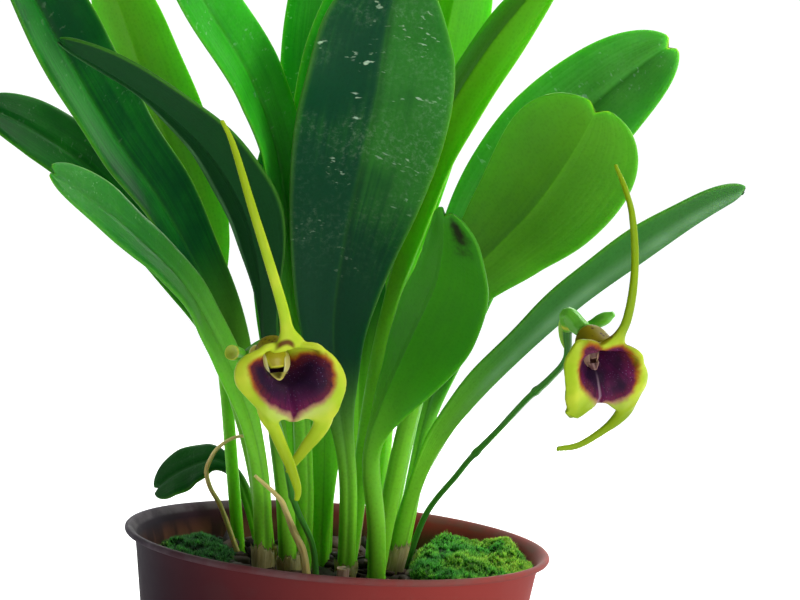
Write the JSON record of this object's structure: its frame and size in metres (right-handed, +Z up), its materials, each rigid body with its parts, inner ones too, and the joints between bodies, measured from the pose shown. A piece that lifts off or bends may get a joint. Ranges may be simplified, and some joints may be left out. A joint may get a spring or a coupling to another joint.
{
  "type": "potted masdevallia orchid",
  "caption": "Small potted orchid: a clump of leathery channelled leaves and yellow, dark-blotched, long-tailed flowers in a round plastic nursery pot.",
  "frame": {"origin": "centre of the flat underside of the pot, where it rests", "axes": "+Z up along the axis of the pot, +X to the right of the side where the flowers are, +Y to the back of it"},
  "size_m": [0.1388, 0.1257, 0.1878],
  "materials": {
    "pot": "thin moulded nursery pot, reddish brown, satin, with a paler worn rim",
    "bark": "dark moist bark chips, rough",
    "moss": "bright green cushion moss, velvety",
    "shade_moss": "dark green moss in shade",
    "leaf": "thick leathery leaf, satin, deep green, paler below, with a channelled midrib",
    "young_leaf": "young leaf, yellow green, thin enough to glow in the light",
    "dry_sheath": "dry papery straw brown",
    "sepal": "fleshy sepal, yellow, with a dark purple blotch that fades to red brown",
    "flower_centre": "waxy pale yellow petals and column with a dark purple lip",
    "stalk": "smooth green flower stalk, satin"
  },
  "bodies": {
    "root": {"pot": "pot", "bark": "bark", "moss_right": "moss", "moss_left": "shade_moss", "leaf_front_centre": "leaf", "leaf_front_right_short": "leaf", "leaf_right_broad": "leaf", "leaf_right_back": "leaf", "leaf_right_low": "leaf", "leaf_back_right_tall": "leaf", "leaf_back_right_upright": "leaf", "leaf_centre_left": "leaf", "leaf_back_left_upright": "leaf", "leaf_left_bright": "leaf", "leaf_left_arching": "leaf", "leaf_left_young": "young_leaf", "leaf_left_long": "leaf", "leaf_left_low": "leaf", "leaf_far_left": "leaf", "leaf_small_back_left": "leaf", "leaf_rear_left": "leaf", "leaf_rear_centre": "leaf", "leaf_rear_right": "leaf", "sheath_front_centre": "dry_sheath", "sheath_right_low": "dry_sheath", "sheath_left_arching": "dry_sheath", "sheath_left_low": "dry_sheath", "sheath_rear_centre": "dry_sheath", "flower_left_sepals": "sepal", "flower_left_centre": "flower_centre", "flower_left_stalk": "stalk", "flower_right_sepals": "sepal", "flower_right_centre": "flower_centre", "flower_right_stalk": "stalk", "dry_stalk_front": "dry_sheath", "dry_stalk_back": "dry_sheath", "cut_stem": "dry_sheath"}
  },
  "joints": []
}
